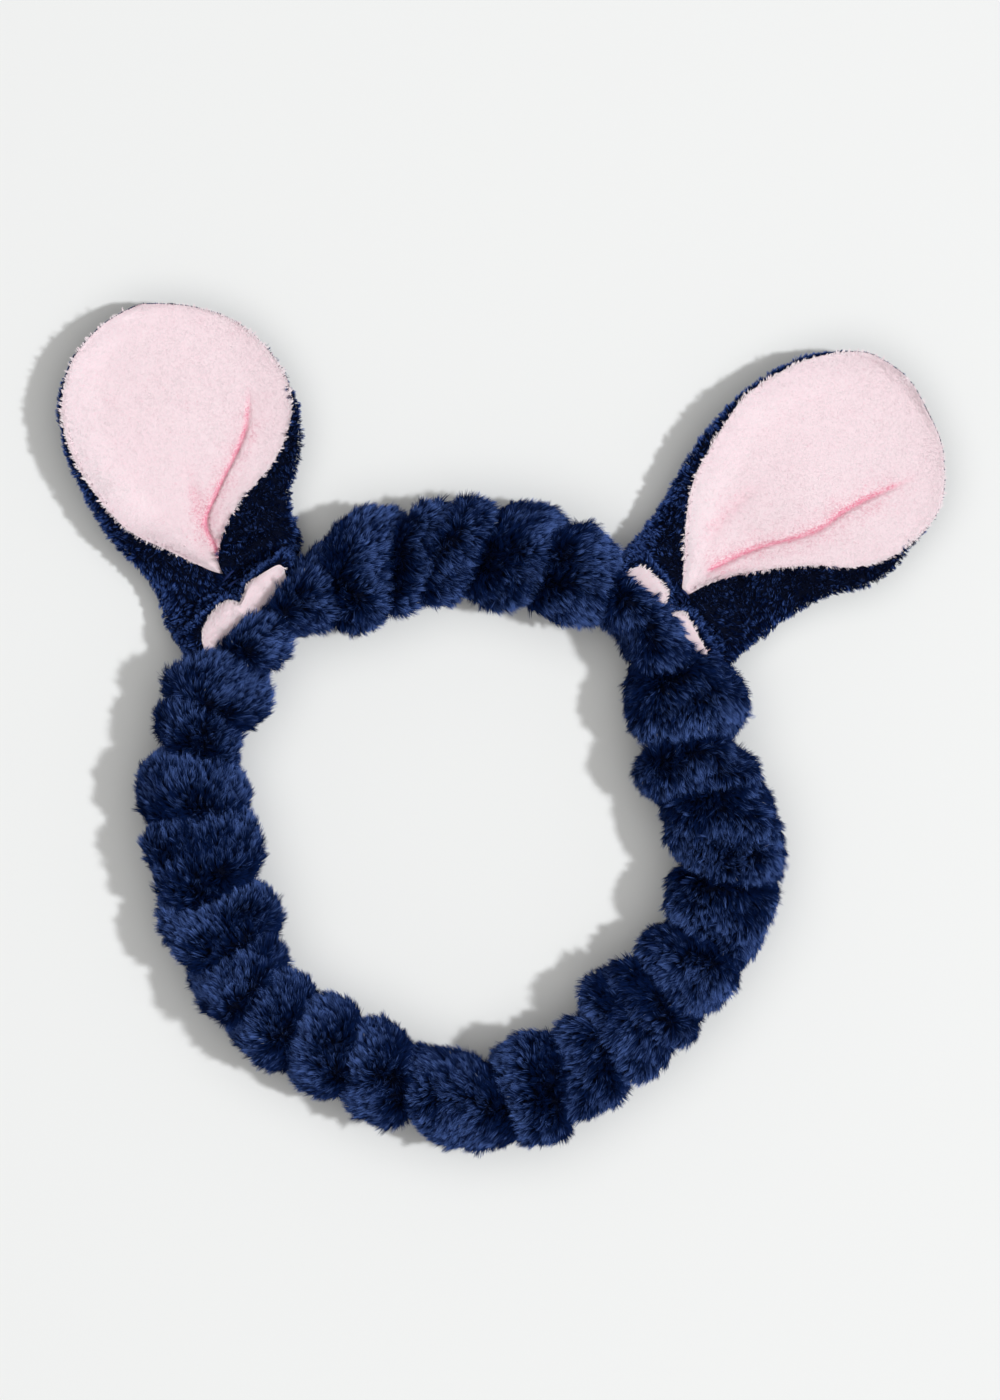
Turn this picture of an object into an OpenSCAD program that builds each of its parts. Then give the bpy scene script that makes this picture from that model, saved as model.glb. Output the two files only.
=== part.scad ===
// Plush animal ears headband, lying flat as it comes off the head.
// X and Y span the ring and +Z points up. The origin is the middle of the head opening,
// on the surface that the band lies on. All lengths are in millimetres.

/* [Ring] */
// Radius from the middle of the head opening to the middle of the plush tube
ring_r = 66.5; // [64:0.5:70]
// Width of the plush tube, across the ring
tube_w = 27; // [26:0.5:31]
// Height of the plush tube
tube_h = 28; // [26:0.5:32]
// How far the soft ring strays from a true circle
stray = 1.3; // [0:0.1:1.6]
// Depth of the flat that the tube's own weight presses on its underside
foot_flat = 0.5; // [0.2:0.1:0.8]

/* [Gathers] */
// Number of main gathers round the ring
gathers = 22; // [18:1:26]
// Depth of the crease between two gathers
crease_d = 2.6; // [1:0.1:3]
// Depth of the small ruffle in the middle of a gather, on the outer side
ruffle_d = 1.4; // [0.2:0.1:2]
// Slant of the creases across the tube, in degrees
crease_slant = 3; // [0:0.5:4]

/* [Elastic] */
// Width of the elastic, which stands on its edge inside the tube
elastic_w = 9; // [6:0.5:16]
// Thickness of the elastic
elastic_t = 1.2; // [0.8:0.1:1.5]
// Length over which the two ends of the elastic lie on each other
elastic_lap = 18; // [12:1:26]
// Room for the elastic to slide inside the cover
elastic_gap = 0.3; // [0.2:0.05:0.5]

/* [Sewing thread] */
// Diameter of the doubled thread that sews the ears and the cover
thread_d = 1; // [0.8:0.1:1.2]
// Diameter of the fine thread of the ear seams and the elastic
fine_d = 0.5; // [0.4:0.05:0.6]
// Room round a thread
thread_gap = 0.06; // [0.04:0.01:0.1]
// Stitches across the lapped ends of the elastic
lap_stitches = 7; // [3:1:9]
// Bars of the tack that pinches an ear
tack_bars = 3; // [2:1:3]

/* [Ear panel] */
// Width of an ear at its widest
ear_w = 60; // [54:1:64]
// Distance of the widest place from the ear's hinge line
widest_at = 48; // [46:1:52]
// Width of the folded neck, where the ear meets the band
neck_w = 36; // [32:1:38]
// Height of the folded neck
neck_h = 8; // [7:0.5:9]
// Radius of the ear's curled sides at its widest
cup_r = 11; // [10:0.5:13]
// Curl that is left at the tip, in degrees
tip_curl = 60; // [45:1:75]
// Rise of the ear's back over the table at its widest place
ear_rise = 4.5; // [0:0.5:8]
// Further rise of the tip
tip_rise = 8; // [5:0.5:10]
// Thickness of the plush back panel
back_t = 1.4; // [1:0.1:1.6]
// Thickness of the short-pile front panel
front_t = 1.2; // [0.8:0.1:1.4]
// Thickness of the wadding between the panels
wadding_t = 2.2; // [1.2:0.1:2.6]

/* [Ear fold] */
// Distance of the pinch from the hinge line
pinch_at = 5; // [4.5:0.5:7]
// Gap between the two folds at the pinch
pinch_gap = 2.4; // [2:0.1:3]
// Width of the opening between the folds at the hinge line
mouth_w = 28; // [22:1:30]
// Where the anticlockwise fold comes up, from the hinge line
near_fold_at = 38; // [34:1:42]
// Where the clockwise fold comes up, from the hinge line
far_fold_at = 44; // [43:1:45]

/* [Ear seat] */
// Outer diameter of the hem that the base thread runs through
hem_d = 3.2; // [2.6:0.1:3.4]
// Radial room of the thread in the hem
hinge_gap = 0.08; // [0.05:0.01:0.1]
// Loops of the base thread along an ear
base_loops = 3; // [2:1:4]
// Room between the hinge line and the band, for the ear to flop
flop_room = 3.2; // [3:0.1:4]
// How deep the base thread goes into the cover
thread_bite = 3; // [2:0.5:4]

/* [Ear places] */
// Direction of the left ear's seat round the ring, in degrees from +X
left_at = 134.6; // [125:0.2:145]
// Lean of the left ear to its clockwise side, in degrees
left_lean = 31; // [0:1:34]
// Sideways bow of the left ear
left_bow = -5; // [-6:0.5:6]
// Length of the left ear as it lies
left_len = 77; // [72:0.5:86]
// Distance of the left ear's hinge line from the middle of the tube
left_seat = 12; // [10.5:0.5:13.5]
// Direction of the right ear's seat round the ring, in degrees from +X
right_at = 45.5; // [35:0.5:55]
// Lean of the right ear to its clockwise side, in degrees
right_lean = 3; // [0:1:34]
// Sideways bow of the right ear
right_bow = 3; // [-6:0.5:6]
// Length of the right ear as it lies
right_len = 80.5; // [72:0.5:86]
// Distance of the right ear's hinge line from the middle of the tube
right_seat = 11; // [10.5:0.5:13.5]

/* [Hidden] */
$fn = 64;

navy = [0.10, 0.17, 0.40];
pink = [0.97, 0.86, 0.89];
thread_navy = [0.06, 0.09, 0.24];
thread_pink = [0.93, 0.70, 0.78];
white = [0.95, 0.95, 0.93];
wadding_white = [0.98, 0.98, 0.96];

// An ear's place: direction, lean, bow, length and hinge radius
LEFT = [left_at, left_lean, left_bow, left_len, ring_r + left_seat];
RIGHT = [right_at, right_lean, right_bow, right_len, ring_r + right_seat];
EARS = [LEFT, RIGHT];

function clamp(x) = min(1, max(0, x));
function ease(x) = let (c = clamp(x)) c * c * (3 - 2 * c);
function unit(v) = v / norm(v);
function mix(a, b, share) = a + (b - a) * share;

// The plush tube
cover_sides = 12;
rings_per_gather = 4;
cover_rings = gathers * rings_per_gather;
roundness = 0.8;
first_side = 15;
slant_step = 73;
foot_reach = pow(cos(first_side), roundness);
tube_z = tube_h / 2 * foot_reach - foot_flat;

// Waves of the ring's lay: count round the ring, share of the stray, phase in degrees
LAY = [[2, 1.4, -135], [4, 0.75, -86], [5, 0.8, -36], [6, 0.95, -98]];
// Waves of the gathers' spacing: count round the ring, degrees, phase
SPACING = [[1, 4.5, -150], [2, 1.3, 78], [3, 1.5, -165]];
first_crease = 10.5;

// The tube is squeezed where an ear is sewn on: how far to each side, in degrees
outer_squeeze = [15, 21];
inner_squeeze = [8, 16];
// Squeeze of the head side, and the share of the creases that stays at an ear
head_side_squeeze = 7.5;
crease_left = 0.2;

function turn_between(a, b) = abs(((a - b) % 360 + 540) % 360 - 180);
function near_ear(a, ear, reach) =
  ease((reach[1] - turn_between(a, ear[0])) / (reach[1] - reach[0]));
function squeezed(a, reach) = max([for (e = EARS) near_ear(a, e, reach)]);
function lay_at(a) = stray * [for (w = LAY) w[1] * cos(w[0] * a - w[2])] * [for (w = LAY) 1];

function free_outer_r(a) = ring_r + tube_w / 2 + lay_at(a);
// The tube is pressed flat along an ear's hinge line
function flat_r(a, ear) = (ear[4] - flop_room) / cos(min(turn_between(a, ear[0]), outer_squeeze[1]));
function outer_r(a) = min([for (e = EARS)
  mix(free_outer_r(a), flat_r(a, e), near_ear(a, e, outer_squeeze))]);
function inner_r(a) =
  ring_r - tube_w / 2 + lay_at(a) + head_side_squeeze * squeezed(a, inner_squeeze);

function crease_angle(k) =
  let (turn = 360 * k / gathers)
  first_crease + turn
  + [for (w = SPACING) w[1] * cos(w[0] * turn - w[2])] * [for (w = SPACING) 1];

// Depth of the folds at ring i and tube angle phi, which is 0 on the outer side
function fold_depth(i, phi, a) =
  let (
    step = i % rings_per_gather,
    outer_share = (1 + cos(phi)) / 2,
    kept = mix(1, crease_left, squeezed(a, inner_squeeze))
  )
  kept * (step == 0 ? crease_d : step == rings_per_gather / 2 ? ruffle_d * outer_share : 0);

function rounded(x) = sign(x) * pow(abs(x), roundness);

// A point of the cover at ring i and side m, moved out of the skin by lift
function cover_point(i, m, lift = 0) =
  let (
    phi = first_side + 360 * m / cover_sides,
    k = i / rings_per_gather,
    a = crease_angle(k) + crease_slant * sin(slant_step * floor(k)) * cos(phi),
    d = fold_depth(i, phi, a) - lift,
    mid = (outer_r(a) + inner_r(a)) / 2,
    half = (outer_r(a) - inner_r(a)) / 2 - d,
    r = mid + half * rounded(cos(phi))
  )
  [r * cos(a), r * sin(a), tube_z + (tube_h / 2 - d) * rounded(sin(phi))];

// Radius of the tube's outer skin at direction a and height z, between the creases
function skin_r(a, z) =
  let (up = clamp(abs(z - tube_z) / (tube_h / 2)))
  mix(inner_r(a), outer_r(a), 0.5)
  + (outer_r(a) - inner_r(a)) / 2 * pow(1 - pow(up, 2 / roundness), roundness / 2);

// The elastic and its channel in the cover
elastic_in_r = ring_r - elastic_t;
lap_rise = elastic_t + thread_gap;
lap_out_r = elastic_in_r + lap_rise + elastic_t;
stitch_r = lap_out_r + fine_d / 2 + thread_gap;
channel_in_r = elastic_in_r - elastic_gap - fine_d - 2 * thread_gap;
channel_out_r = stitch_r + fine_d / 2 + elastic_gap;
lap_turn = elastic_lap / lap_out_r * 180 / PI;
// The strip climbs onto its own first end over this turn, and has this many corners
climb_turn = 12;
strip_corners = 120;
function strip_turn(i) = (360 + lap_turn) * i / strip_corners;
function strip_r(turn) = elastic_in_r + lap_rise * ease((turn - 360 + climb_turn) / climb_turn);
function strip_point(i, out) =
  let (turn = strip_turn(i))
  (strip_r(turn) + out) * [cos(turn), sin(turn)];
// The closing seam of the cover and the lap of the elastic lie at the back of the head
closing_share = 0.727;
closing_gather = round(gathers * closing_share);
// Height of the closing thread over the bottom of its crease
closing_lift = 1.1 * thread_d;
lap_at = 270;

// The folded ear
cols = 8;
flat_cols = 2;
hinge_z = neck_h / 2;
hem_room = 0.1;
first_t = hem_d / 2 + hem_room;
fan_len = 20;
tip_steps = 6;
tip_last = 81;
near_curve = 0.5;
far_curve = 1.5;
filled_at = 45;
cup_power = 4;
cup_share = 0.9;
// Where the sections between the pinch and the widest place stand
ROW_SHARES = [0.08, 0.18, 0.31, 0.46, 0.63, 0.81];
// Shares of the wadding's thickness next to the edge, next to the tip and in the neck
edge_fill = 0.5;
tip_fill = 0.6;
neck_fill = 0.16;
// The edge seam's thread lies this far off the panels' edges, from the pinch's row on
seam_gap = 0.2;
seam_off = fine_d / 2 + seam_gap;
pinch_row = 2;
// Spacing of the tack's bars, and their length past the gap that they close
tack_pitch = 1.2 * thread_d;
tack_past = 3 * thread_d;
// How far a cut runs past the piece that it cuts
cut_past = 1;

// Distances from the hinge line at which the ear's sections stand
function ear_rows(ear) = concat(
  [first_t, mix(first_t, pinch_at, 0.5), pinch_at],
  [for (s = ROW_SHARES) mix(pinch_at, widest_at, s)],
  [for (i = [0 : tip_steps]) widest_at + (ear[3] - widest_at) * sin(tip_last * i / tip_steps)]
);

function half_w(t, ear) =
  t <= widest_at
  ? mix(neck_w, ear_w, ease((t - pinch_at) / (widest_at - pinch_at))) / 2
  : ear_w / 2 * sqrt(max(0, 1 - pow((t - widest_at) / (ear[3] - widest_at), 2)));

function curl_r(t) =
  mix(neck_h / 2, cup_r, pow(clamp((t - pinch_at) / (widest_at - pinch_at)), cup_power));

function fold_at(side) = side < 0 ? near_fold_at : far_fold_at;

// Where the edge of a fold lies, from the ear's middle
function edge_x(t, side, ear) =
  t < pinch_at
  ? mix(mouth_w, pinch_gap, (t - first_t) / (pinch_at - first_t)) / 2
  : mix(pinch_gap / 2, half_w(t, ear),
        pow((t - pinch_at) / (fold_at(side) - pinch_at), side < 0 ? near_curve : far_curve));

// A section's flat half width, curl radius and length of the curled stretch
function curl(t, side, ear) =
  t >= fold_at(side)
  ? let (
      beta = mix(90, tip_curl, (t - fold_at(side)) / (ear[3] - fold_at(side))),
      rho = min(curl_r(t), cup_share * half_w(t, ear) / sin(beta))
    )
    [half_w(t, ear) - rho * sin(beta), rho, rho * beta * PI / 180]
  : let (
      rho = curl_r(t),
      flat = half_w(t, ear) - rho,
      x = edge_x(t, side, ear)
    )
    [flat, rho, x <= flat ? PI * rho + flat - x : rho * (180 - asin((x - flat) / rho)) * PI / 180];

// Across and up at a length s along the section, at depth d under the outer skin
function section_point(c, s, d) =
  let (psi = (s - c[0]) / c[1] * 180 / PI)
  psi <= 0 ? [s, d]
  : psi < 180 ? [c[0] + (c[1] - d) * sin(psi), c[1] - (c[1] - d) * cos(psi)]
  : [2 * c[0] + PI * c[1] - s, 2 * c[1] - d];

function column_s(c, j) =
  j <= flat_cols ? c[0] * j / flat_cols : c[0] + c[2] * (j - flat_cols) / (cols - flat_cols);

// Rise of the ear's back over the table
function back_z(t, ear) =
  let (past = clamp((t - widest_at) / (ear[3] - widest_at)))
  ear_rise * ease((t - pinch_at) / (widest_at - pinch_at)) + tip_rise * (1 - sqrt(1 - pow(past, 2)));

// From the ear's own section to the ear's seat: X along the hinge line, Y out of the band
function on_ear(t, x, z, ear) =
  let (
    spread = ear[1] * ease((t - first_t) / fan_len),
    bow = ear[2] * sin(180 * t / ear[3])
  )
  [
    t * sin(ear[1]) * ease(t / fan_len) + (x + bow) * cos(spread),
    t * mix(1, cos(ear[1]), ease(t / fan_len)) - (x + bow) * sin(spread),
    z + back_z(t, ear)
  ];

// A point of the ear at distance t, column j from -cols to cols, depth d and past the edge by more
function ear_point(t, j, d, ear, more = 0) =
  let (
    side = j < 0 ? -1 : 1,
    c = curl(t, side, ear),
    p = section_point(c, column_s(c, abs(j)) + more, d)
  )
  on_ear(t, side * p[0], p[1], ear);

// The wadding thins out at the neck, along the edges and at the tip
function wadding_at(t, j, ear) =
  let (
    rows = ear_rows(ear),
    last = len(rows) - 1,
    edge = abs(j) == cols ? 0 : abs(j) == cols - 1 ? edge_fill : 1,
    tip = t >= rows[last] ? 0 : t >= rows[last - 1] ? tip_fill : 1,
    neck = t <= rows[0] ? 0 : max(neck_fill, ease(t / filled_at))
  )
  wadding_t * edge * tip * neck;

function back_grid(ear, d) =
  [for (t = ear_rows(ear)) [for (j = [-cols : cols]) ear_point(t, j, d, ear)]];
function front_grid(ear, d) =
  [for (t = ear_rows(ear))
    [for (j = [-cols : cols]) ear_point(t, j, back_t + wadding_at(t, j, ear) + d, ear)]];
function wadding_grid(ear, full) =
  let (rows = ear_rows(ear))
  [for (i = [1 : len(rows) - 2])
    [for (j = [-cols + 1 : cols - 1])
      ear_point(rows[i], j, back_t + full * wadding_at(rows[i], j, ear), ear)]];

// A closed skin between two grids of points that have the same rows and columns
module slab(low, high) {
  n = len(low);
  m = len(low[0]);
  rim = concat(
    [for (j = [0 : m - 1]) j],
    [for (i = [1 : n - 1]) i * m + m - 1],
    [for (j = [m - 2 : -1 : 0]) (n - 1) * m + j],
    [for (i = [n - 2 : -1 : 1]) i * m]
  );
  cells = [for (i = [0 : n - 2]) for (j = [0 : m - 2]) i * m + j];
  polyhedron(
    points = concat([for (row = low) each row], [for (row = high) each row]),
    faces = concat(
      [for (a = cells) each [[a, a + 1, a + m + 1], [a, a + m + 1, a + m]]],
      [for (a = cells) let (b = a + n * m) each [[b, b + m + 1, b + 1], [b, b + m, b + m + 1]]],
      [for (i = [0 : len(rim) - 1])
        let (a = rim[i], b = rim[(i + 1) % len(rim)])
        each [[a, a + n * m, b], [b, a + n * m, b + n * m]]]
    )
  );
}

// A thread of diameter d along a path, with the side that faces away from the skin at each point
module thread_along(path, away, d, sides = 6) {
  n = len(path);
  ring = [for (i = [0 : n - 1])
    let (
      along = unit(path[min(n - 1, i + 1)] - path[max(0, i - 1)]),
      side = unit(cross(along, away[i])),
      up = cross(side, along)
    )
    for (m = [0 : sides - 1])
      path[i] + d / 2 * (cos(360 * m / sides) * up + sin(360 * m / sides) * side)];
  tops = (n - 1) * sides;
  polyhedron(
    points = ring,
    faces = concat(
      [for (i = [0 : n - 2]) for (m = [0 : sides - 1])
        let (a = i * sides + m, b = i * sides + (m + 1) % sides)
        each [[a, b + sides, b], [a, a + sides, b + sides]]],
      [for (m = [1 : sides - 2]) [0, m, m + 1]],
      [for (m = [1 : sides - 2]) [tops, tops + m + 1, tops + m]]
    )
  );
}

// A closed loop of thread through the given points, with the way out of the loop at each
module thread_loop(path, away, d, sides = 6) {
  n = len(path);
  ring = [for (i = [0 : n - 1])
    let (
      along = unit(path[(i + 1) % n] - path[(i + n - 1) % n]),
      side = unit(cross(along, away[i])),
      up = cross(side, along)
    )
    for (m = [0 : sides - 1])
      path[i] + d / 2 * (cos(360 * m / sides) * up + sin(360 * m / sides) * side)];
  polyhedron(
    points = ring,
    faces = [for (i = [0 : n - 1]) for (m = [0 : sides - 1])
      let (
        a = i * sides + m,
        b = i * sides + (m + 1) % sides,
        c = ((i + 1) % n) * sides + m,
        e = ((i + 1) % n) * sides + (m + 1) % sides
      )
      each [[a, b, e], [a, e, c]]]
  );
}

// A straight rod between two points
module rod(p, q, d) {
  v = q - p;
  translate(p)
    rotate([0, acos(v[2] / norm(v)), atan2(v[1], v[0])])
      cylinder(d = d, h = norm(v));
}

// Puts a child that stands on the ear's seat where that ear is sewn to the band
module at_ear(ear)
  rotate([0, 0, ear[0] - 90]) translate([0, ear[4], 0]) children();

// Legs of the base thread: where each stands along the hinge line, and where it ends in the cover
leg_span = neck_w - 2 * thread_d;
leg_pitch = leg_span / base_loops;
function leg_x(k) = -leg_span / 2 + leg_pitch * k;
function leg_end_y(k, ear) =
  let (
    a = ear[0] - asin(leg_x(k) / ear[4]),
    skin = skin_r(a, hinge_z)
  )
  sqrt(pow(skin, 2) - pow(leg_x(k), 2)) - ear[4] - thread_bite;

module thread_holes(ear)
  at_ear(ear)
    for (k = [0 : base_loops])
      translate([leg_x(k), leg_end_y(k, ear) - thread_gap, hinge_z])
        rotate([-90, 0, 0])
          cylinder(d = thread_d + 2 * thread_gap, h = -leg_end_y(k, ear));

module cover_body()
  polyhedron(
    points = [for (i = [0 : cover_rings - 1]) for (m = [0 : cover_sides - 1]) cover_point(i, m)],
    faces = [for (i = [0 : cover_rings - 1]) for (m = [0 : cover_sides - 1])
      let (
        next = (i + 1) % cover_rings,
        up = (m + 1) % cover_sides,
        a = i * cover_sides + m,
        b = i * cover_sides + up,
        c = next * cover_sides + m,
        e = next * cover_sides + up
      )
      each [[a, c, e], [a, e, b]]]
  );

module elastic_channel()
  rotate_extrude()
    translate([channel_in_r, tube_z - elastic_w / 2 - elastic_gap])
      square([channel_out_r - channel_in_r, elastic_w + 2 * elastic_gap]);

module band_cover() {
  ground = 2 * (ring_r + tube_w);
  color(navy)
    difference() {
      cover_body();
      translate([-ground / 2, -ground / 2, -tube_h])
        cube([ground, ground, tube_h]);
      elastic_channel();
      for (e = EARS) thread_holes(e);
    }
}

module elastic_band()
  color(white)
    translate([0, 0, tube_z - elastic_w / 2])
      rotate([0, 0, lap_at - lap_turn / 2])
        linear_extrude(elastic_w)
          polygon(concat(
            [for (i = [0 : strip_corners]) strip_point(i, 0)],
            [for (i = [strip_corners : -1 : 0]) strip_point(i, elastic_t)]
          ));

module elastic_lap_stitches()
  color(thread_navy)
    for (i = [0 : lap_stitches - 1])
      rotate([0, 0, lap_at + lap_turn * (i + 0.5 - lap_stitches / 2) / lap_stitches])
        translate([stitch_r, 0, tube_z - elastic_w / 2 + fine_d])
          cylinder(d = fine_d, h = elastic_w - 2 * fine_d);

module cover_long_seam()
  color(thread_navy)
    rotate_extrude()
      translate([channel_in_r + fine_d / 2 + thread_gap, tube_z])
        circle(d = fine_d);

module cover_closing_seam() {
  i = closing_gather * rings_per_gather;
  path = [for (m = [0 : cover_sides - 1]) cover_point(i, m, closing_lift)];
  away = [for (m = [0 : cover_sides - 1]) cover_point(i, m, closing_lift) - cover_point(i, m)];
  color(thread_navy) thread_loop(path, away, thread_d);
}

module ear_back(ear)
  color(navy) at_ear(ear) slab(back_grid(ear, 0), back_grid(ear, back_t));

module ear_front(ear)
  color(pink) at_ear(ear) slab(front_grid(ear, 0), front_grid(ear, front_t));

module ear_wadding(ear)
  color(wadding_white) at_ear(ear) slab(wadding_grid(ear, 0), wadding_grid(ear, 1));

// The seam thread runs up one edge from the pinch, over the tip and down the other, just off the panels
module ear_edge_seam(ear) {
  rows = ear_rows(ear);
  last = len(rows) - 1;
  places = concat(
    [for (i = [pinch_row : last]) [rows[i], -cols]],
    [for (j = [1 - cols : cols - 1]) [rows[last], j]],
    [for (i = [last : -1 : pinch_row]) [rows[i], cols]]
  );
  end = len(places) - 1;
  edge = [for (p = places) ear_point(p[0], p[1], back_t, ear)];
  depth = [for (i = [0 : end]) unit(ear_point(places[i][0], places[i][1], back_t + fine_d, ear) - edge[i])];
  path = [for (i = [0 : end])
    let (along = edge[min(end, i + 1)] - edge[max(0, i - 1)])
    edge[i] + seam_off * unit(cross(depth[i], along))];
  color(thread_pink) at_ear(ear) thread_along(path, depth, fine_d);
}

// Bars of thread across the two folds, on top of the pinch
module ear_pinch_tack(ear) {
  reach = pinch_gap / 2 + tack_past;
  z = 2 * curl_r(pinch_at) + thread_d / 2 + thread_gap;
  color(thread_navy)
    at_ear(ear)
      for (i = [0 : tack_bars - 1]) {
        t = pinch_at + tack_pitch * (i - (tack_bars - 1) / 2);
        rod(on_ear(t, -reach, z, ear), on_ear(t, reach, z, ear), thread_d);
      }
}

// Short sleeves at the ear's base, one for each loop of the base thread
module ear_hem(ear)
  color(navy)
    at_ear(ear)
      for (k = [0 : base_loops - 1])
        translate([leg_x(k) + thread_d / 2 + elastic_gap, 0, hinge_z])
          rotate([0, 90, 0])
            difference() {
              cylinder(d = hem_d, h = leg_pitch - thread_d - 2 * elastic_gap);
              translate([0, 0, -cut_past])
                cylinder(d = thread_d + 2 * hinge_gap, h = leg_pitch + 2 * cut_past);
            }

module ear_base_thread(ear)
  color(thread_navy)
    at_ear(ear) {
      translate([-leg_span / 2, 0, hinge_z])
        rotate([0, 90, 0])
          cylinder(d = thread_d, h = leg_span);
      for (k = [0 : base_loops]) {
        translate([leg_x(k), leg_end_y(k, ear), hinge_z])
          rotate([-90, 0, 0])
            cylinder(d = thread_d, h = -leg_end_y(k, ear));
        translate([leg_x(k), 0, hinge_z])
          sphere(d = thread_d);
      }
    }

band_cover();
elastic_band();
elastic_lap_stitches();
cover_long_seam();
cover_closing_seam();
ear_back(LEFT);  // left_ear_back
ear_front(LEFT);  // left_ear_front
ear_wadding(LEFT);  // left_ear_wadding
ear_edge_seam(LEFT);  // left_ear_edge_seam
ear_pinch_tack(LEFT);  // left_ear_pinch_tack
ear_hem(LEFT);  // left_ear_hem
ear_base_thread(LEFT);  // left_ear_base_thread
ear_back(RIGHT);  // right_ear_back
ear_front(RIGHT);  // right_ear_front
ear_wadding(RIGHT);  // right_ear_wadding
ear_edge_seam(RIGHT);  // right_ear_edge_seam
ear_pinch_tack(RIGHT);  // right_ear_pinch_tack
ear_hem(RIGHT);  // right_ear_hem
ear_base_thread(RIGHT);  // right_ear_base_thread
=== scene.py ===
# %% [markdown]
# # A plush headband with animal ears
# The real headband is a tube of long-pile navy plush, gathered on a ring of elastic. Two thin padded ears,
# navy behind and pink in front, are pinched together at the base and sewn to its top. It lies on a table and
# is seen from straight above.
#
# The frame holds the elastic, the seams and the hinges. This lesson makes what shows: the gathered cloth, the
# folded ears and, on all of it, the pile. Particle hair would be quick, but it leaves no mesh behind, so
# every tuft here is real geometry: leaf-shaped blades of two triangles each, grown from the cloth.

# %% The frame
import math

import bpy
import numpy as np
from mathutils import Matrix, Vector
from mathutils.kdtree import KDTree


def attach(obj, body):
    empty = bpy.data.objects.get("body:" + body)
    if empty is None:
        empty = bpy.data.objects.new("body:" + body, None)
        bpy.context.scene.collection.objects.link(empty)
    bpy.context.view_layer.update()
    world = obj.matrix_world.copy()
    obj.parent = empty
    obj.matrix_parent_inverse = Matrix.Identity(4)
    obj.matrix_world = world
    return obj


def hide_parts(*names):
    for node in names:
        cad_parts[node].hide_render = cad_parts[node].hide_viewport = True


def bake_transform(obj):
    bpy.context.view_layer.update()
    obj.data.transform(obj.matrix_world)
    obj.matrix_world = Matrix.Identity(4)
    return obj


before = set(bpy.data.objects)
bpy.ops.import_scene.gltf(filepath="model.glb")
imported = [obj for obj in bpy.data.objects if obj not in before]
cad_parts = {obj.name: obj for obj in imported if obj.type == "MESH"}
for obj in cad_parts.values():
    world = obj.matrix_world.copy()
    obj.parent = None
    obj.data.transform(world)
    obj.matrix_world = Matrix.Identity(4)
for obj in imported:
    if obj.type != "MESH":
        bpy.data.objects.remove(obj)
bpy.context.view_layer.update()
bpy.ops.object.select_all(action="DESELECT")
MM = 0.001

# %% [markdown]
# ## Table, light and camera
# The photograph is taken from straight above, so a camera that points down, with a long lens, gives the same
# proportions. A small softbox stands high on the right, five metres away so that its light falls evenly, and throws
# short shadows to the left that spread a little. A wide one straight above fills them with a slightly warmer light
# and evens out the table, and a weak sky reaches under the rims.

# %% Table and camera
SCALE = 0.25 * MM
PHOTO_SIZE = (1000, 1400)
OPENING_PIXEL = (460, 821)
CAMERA_HEIGHT = 1.5
FOCUS_HEIGHT = 13 * MM
TABLE_DROP = 0.1 * MM


def add_camera():
    bpy.ops.object.camera_add(location=(0, 0, CAMERA_HEIGHT), rotation=(0, 0, 0))
    camera = bpy.context.object
    camera.location.x = (PHOTO_SIZE[0] / 2 - OPENING_PIXEL[0]) * SCALE
    camera.location.y = (OPENING_PIXEL[1] - PHOTO_SIZE[1] / 2) * SCALE
    camera.data.sensor_fit = "VERTICAL"
    camera.data.lens = camera.data.sensor_height * (CAMERA_HEIGHT - FOCUS_HEIGHT) / (PHOTO_SIZE[1] * SCALE)
    bpy.context.scene.camera = camera
    return camera


def plain_material(name, colour, roughness):
    material = bpy.data.materials.new(name)
    material.use_nodes = True
    shader = material.node_tree.nodes["Principled BSDF"]
    shader.inputs["Base Color"].default_value = (*colour, 1)
    shader.inputs["Roughness"].default_value = roughness
    shader.inputs["Specular IOR Level"].default_value = 0.1
    return material


camera = add_camera()
bpy.ops.mesh.primitive_plane_add(size=4, location=(0, 0, -TABLE_DROP))
table = bpy.context.object
table.name = "table"
table.data.materials.append(plain_material("table_white", (0.865, 0.875, 0.875), 0.8))
print("camera lens", round(camera.data.lens, 1), "mm at", CAMERA_HEIGHT, "m")

# %% Light
KEY_PLACE, KEY_SIZE = Vector((2.75, -0.2, 4.3)), 0.35
KEY_POWER, KEY_COLOUR = 145.0, (0.99, 1.0, 1.01)
OVERHEAD_PLACE, OVERHEAD_SIZE = Vector((-0.05, 0.02, 1.5)), 2.2
OVERHEAD_POWER, OVERHEAD_COLOUR = 13.4, (1.0, 0.985, 0.955)
SKY_STRENGTH = 0.17
BACKDROP_COLOUR = (0.86, 0.87, 0.87, 1)


def add_softbox(name, place, size, power, colour):
    bpy.ops.object.light_add(type="AREA", location=place)
    lamp = bpy.context.object
    lamp.name = name
    lamp.rotation_euler = place.to_track_quat("Z", "Y").to_euler()
    lamp.data.shape = "DISK"
    lamp.data.size = size
    lamp.data.energy = power
    lamp.data.color = colour
    lamp.visible_camera = False


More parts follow.
